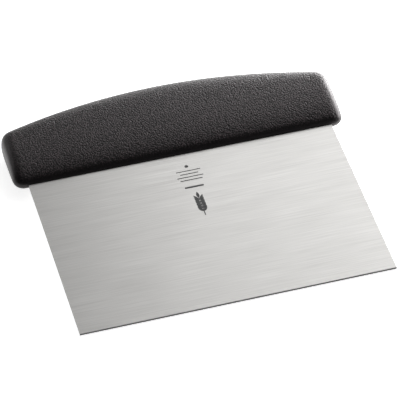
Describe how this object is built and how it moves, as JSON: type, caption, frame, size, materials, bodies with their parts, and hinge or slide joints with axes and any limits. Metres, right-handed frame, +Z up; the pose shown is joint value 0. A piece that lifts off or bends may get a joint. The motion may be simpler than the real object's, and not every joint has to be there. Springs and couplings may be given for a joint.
{
  "type": "bench scraper",
  "caption": "Hand-held bench scraper: a wide rectangular stainless sheet blade in a full-width crowned handle with a grained soft skin over a hard core.",
  "frame": {"origin": "centre of the bounding box's footprint, on the bench that the scraper lies on", "axes": "+X along the scraping edge, +Y from the edge towards the handle, +Z up out of the bench; the front of the blade faces up, and the scraper rests on its edge and on the back of its handle"},
  "size_m": [0.1654, 0.1495, 0.0155],
  "materials": {
    "blade_steel": "fine straight brushing along the scraping edge, with a satin sheen",
    "core_plastic": "as moulded, hidden inside the grip",
    "grip_skin": "black soft-touch skin with an all-over fine pebble grain, smoother at the ends and beside the blade"
  },
  "bodies": {
    "root": {"blade": "blade_steel", "handle_core": "core_plastic", "handle_grip": "grip_skin"}
  },
  "joints": []
}
